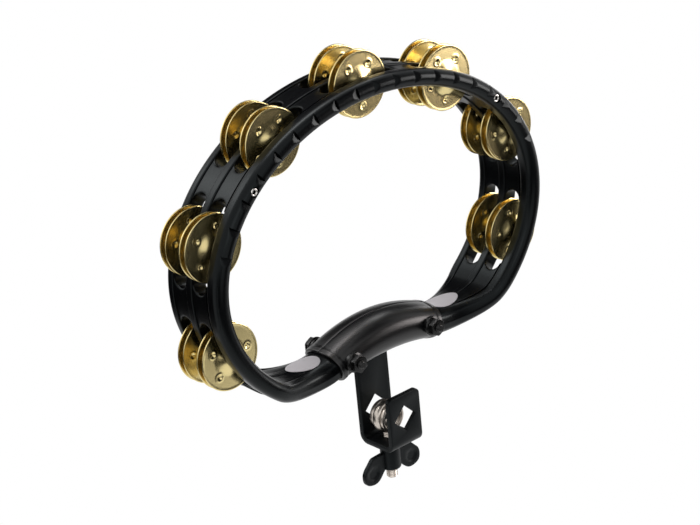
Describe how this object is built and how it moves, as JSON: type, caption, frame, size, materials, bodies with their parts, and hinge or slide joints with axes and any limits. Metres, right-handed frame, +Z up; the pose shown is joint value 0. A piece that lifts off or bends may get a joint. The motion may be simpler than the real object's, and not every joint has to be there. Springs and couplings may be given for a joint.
{
  "type": "mountable tambourine",
  "caption": "Oval open-backed tambourine with double rows of brass jingles, a moulded grip and a steel strap clamp with eye bolt and wing nut for a stand rod.",
  "frame": {"origin": "axis of the stand rod where it passes the middle of the clamp's rod holes, in the middle plane of the ring's middle rail", "axes": "+X to the right across the ring, +Y along the rod to the rear of the instrument, +Z up through the grip to the top of the ring; the player sees it from -Y"},
  "size_m": [0.3086, 0.0544, 0.3106],
  "materials": {
    "black_plastic": "satin black moulded plastic",
    "gloss_plastic": "smooth black moulded plastic",
    "brass": "polished sheet brass",
    "pin_black": "blackened steel pin",
    "black_steel": "satin black coated steel",
    "nickel": "bright nickel plate",
    "label_white": "blank white printed label"
  },
  "bodies": {
    "frame": {"front_ring": "black_plastic", "middle_ring": "black_plastic", "rear_ring": "black_plastic", "jingle_pin_1": "pin_black", "jingle_pin_2": "pin_black", "jingle_pin_3": "pin_black", "jingle_pin_4": "pin_black", "jingle_pin_5": "pin_black", "jingle_pin_6": "pin_black", "jingle_pin_7": "pin_black", "grip_shell_front": "gloss_plastic", "grip_shell_rear": "gloss_plastic", "clamp_bracket": "black_steel", "shell_bolt_left": "black_steel", "shell_bolt_right": "black_steel", "flange_nut_left": "black_steel", "flange_nut_right": "black_steel", "ring_rivet_left": "nickel", "ring_rivet_right": "nickel", "blank_label_left": "label_white", "blank_label_right": "label_white"},
    "jingle_1_front_fore": {"jingle_1_front_fore": "brass"},
    "jingle_1_front_aft": {"jingle_1_front_aft": "brass"},
    "jingle_1_rear_fore": {"jingle_1_rear_fore": "brass"},
    "jingle_1_rear_aft": {"jingle_1_rear_aft": "brass"},
    "jingle_2_front_fore": {"jingle_2_front_fore": "brass"},
    "jingle_2_front_aft": {"jingle_2_front_aft": "brass"},
    "jingle_2_rear_fore": {"jingle_2_rear_fore": "brass"},
    "jingle_2_rear_aft": {"jingle_2_rear_aft": "brass"},
    "jingle_3_front_fore": {"jingle_3_front_fore": "brass"},
    "jingle_3_front_aft": {"jingle_3_front_aft": "brass"},
    "jingle_3_rear_fore": {"jingle_3_rear_fore": "brass"},
    "jingle_3_rear_aft": {"jingle_3_rear_aft": "brass"},
    "jingle_4_front_fore": {"jingle_4_front_fore": "brass"},
    "jingle_4_front_aft": {"jingle_4_front_aft": "brass"},
    "jingle_4_rear_fore": {"jingle_4_rear_fore": "brass"},
    "jingle_4_rear_aft": {"jingle_4_rear_aft": "brass"},
    "jingle_5_front_fore": {"jingle_5_front_fore": "brass"},
    "jingle_5_front_aft": {"jingle_5_front_aft": "brass"},
    "jingle_5_rear_fore": {"jingle_5_rear_fore": "brass"},
    "jingle_5_rear_aft": {"jingle_5_rear_aft": "brass"},
    "jingle_6_front_fore": {"jingle_6_front_fore": "brass"},
    "jingle_6_front_aft": {"jingle_6_front_aft": "brass"},
    "jingle_6_rear_fore": {"jingle_6_rear_fore": "brass"},
    "jingle_6_rear_aft": {"jingle_6_rear_aft": "brass"},
    "jingle_7_front_fore": {"jingle_7_front_fore": "brass"},
    "jingle_7_front_aft": {"jingle_7_front_aft": "brass"},
    "jingle_7_rear_fore": {"jingle_7_rear_fore": "brass"},
    "jingle_7_rear_aft": {"jingle_7_rear_aft": "brass"},
    "eye_bolt": {"eye_bolt": "nickel"},
    "wing_nut": {"wing_nut": "black_steel"}
  },
  "joints": [
    {"name": "jingle_1_front_fore_slide", "type": "slide", "parent": "frame", "child": "jingle_1_front_fore", "axis": [0, 1, 0], "range_m": [-0.0009, 0.002]},
    {"name": "jingle_1_front_aft_slide", "type": "slide", "parent": "frame", "child": "jingle_1_front_aft", "axis": [0, 1, 0], "range_m": [-0.002, 0.0009]},
    {"name": "jingle_1_rear_fore_slide", "type": "slide", "parent": "frame", "child": "jingle_1_rear_fore", "axis": [0, 1, 0], "range_m": [-0.0009, 0.002]},
    {"name": "jingle_1_rear_aft_slide", "type": "slide", "parent": "frame", "child": "jingle_1_rear_aft", "axis": [0, 1, 0], "range_m": [-0.002, 0.0009]},
    {"name": "jingle_2_front_fore_slide", "type": "slide", "parent": "frame", "child": "jingle_2_front_fore", "axis": [0, 1, 0], "range_m": [-0.0009, 0.002]},
    {"name": "jingle_2_front_aft_slide", "type": "slide", "parent": "frame", "child": "jingle_2_front_aft", "axis": [0, 1, 0], "range_m": [-0.002, 0.0009]},
    {"name": "jingle_2_rear_fore_slide", "type": "slide", "parent": "frame", "child": "jingle_2_rear_fore", "axis": [0, 1, 0], "range_m": [-0.0009, 0.002]},
    {"name": "jingle_2_rear_aft_slide", "type": "slide", "parent": "frame", "child": "jingle_2_rear_aft", "axis": [0, 1, 0], "range_m": [-0.002, 0.0009]},
    {"name": "jingle_3_front_fore_slide", "type": "slide", "parent": "frame", "child": "jingle_3_front_fore", "axis": [0, 1, 0], "range_m": [-0.0009, 0.002]},
    {"name": "jingle_3_front_aft_slide", "type": "slide", "parent": "frame", "child": "jingle_3_front_aft", "axis": [0, 1, 0], "range_m": [-0.002, 0.0009]},
    {"name": "jingle_3_rear_fore_slide", "type": "slide", "parent": "frame", "child": "jingle_3_rear_fore", "axis": [0, 1, 0], "range_m": [-0.0009, 0.002]},
    {"name": "jingle_3_rear_aft_slide", "type": "slide", "parent": "frame", "child": "jingle_3_rear_aft", "axis": [0, 1, 0], "range_m": [-0.002, 0.0009]},
    {"name": "jingle_4_front_fore_slide", "type": "slide", "parent": "frame", "child": "jingle_4_front_fore", "axis": [0, 1, 0], "range_m": [-0.0009, 0.002]},
    {"name": "jingle_4_front_aft_slide", "type": "slide", "parent": "frame", "child": "jingle_4_front_aft", "axis": [0, 1, 0], "range_m": [-0.002, 0.0009]},
    {"name": "jingle_4_rear_fore_slide", "type": "slide", "parent": "frame", "child": "jingle_4_rear_fore", "axis": [0, 1, 0], "range_m": [-0.0009, 0.002]},
    {"name": "jingle_4_rear_aft_slide", "type": "slide", "parent": "frame", "child": "jingle_4_rear_aft", "axis": [0, 1, 0], "range_m": [-0.002, 0.0009]},
    {"name": "jingle_5_front_fore_slide", "type": "slide", "parent": "frame", "child": "jingle_5_front_fore", "axis": [0, 1, 0], "range_m": [-0.0009, 0.002]},
    {"name": "jingle_5_front_aft_slide", "type": "slide", "parent": "frame", "child": "jingle_5_front_aft", "axis": [0, 1, 0], "range_m": [-0.002, 0.0009]},
    {"name": "jingle_5_rear_fore_slide", "type": "slide", "parent": "frame", "child": "jingle_5_rear_fore", "axis": [0, 1, 0], "range_m": [-0.0009, 0.002]},
    {"name": "jingle_5_rear_aft_slide", "type": "slide", "parent": "frame", "child": "jingle_5_rear_aft", "axis": [0, 1, 0], "range_m": [-0.002, 0.0009]},
    {"name": "jingle_6_front_fore_slide", "type": "slide", "parent": "frame", "child": "jingle_6_front_fore", "axis": [0, 1, 0], "range_m": [-0.0009, 0.002]},
    {"name": "jingle_6_front_aft_slide", "type": "slide", "parent": "frame", "child": "jingle_6_front_aft", "axis": [0, 1, 0], "range_m": [-0.002, 0.0009]},
    {"name": "jingle_6_rear_fore_slide", "type": "slide", "parent": "frame", "child": "jingle_6_rear_fore", "axis": [0, 1, 0], "range_m": [-0.0009, 0.002]},
    {"name": "jingle_6_rear_aft_slide", "type": "slide", "parent": "frame", "child": "jingle_6_rear_aft", "axis": [0, 1, 0], "range_m": [-0.002, 0.0009]},
    {"name": "jingle_7_front_fore_slide", "type": "slide", "parent": "frame", "child": "jingle_7_front_fore", "axis": [0, 1, 0], "range_m": [-0.0009, 0.002]},
    {"name": "jingle_7_front_aft_slide", "type": "slide", "parent": "frame", "child": "jingle_7_front_aft", "axis": [0, 1, 0], "range_m": [-0.002, 0.0009]},
    {"name": "jingle_7_rear_fore_slide", "type": "slide", "parent": "frame", "child": "jingle_7_rear_fore", "axis": [0, 1, 0], "range_m": [-0.0009, 0.002]},
    {"name": "jingle_7_rear_aft_slide", "type": "slide", "parent": "frame", "child": "jingle_7_rear_aft", "axis": [0, 1, 0], "range_m": [-0.002, 0.0009]},
    {"name": "wing_nut_turn", "type": "hinge", "parent": "frame", "child": "wing_nut", "pos_m": [0, -0.0076, -0.03], "axis": [0, 0, -1], "range_deg": [-285, 1150]},
    {"name": "eye_bolt_draw", "type": "slide", "parent": "frame", "child": "eye_bolt", "axis": [0, 0, 1], "range_m": [-0.001, 0.004]}
  ],
  "couplings": [
    {"joint": "eye_bolt_draw", "follows": "wing_nut_turn", "m_per_rad": 0.000199}
  ]
}
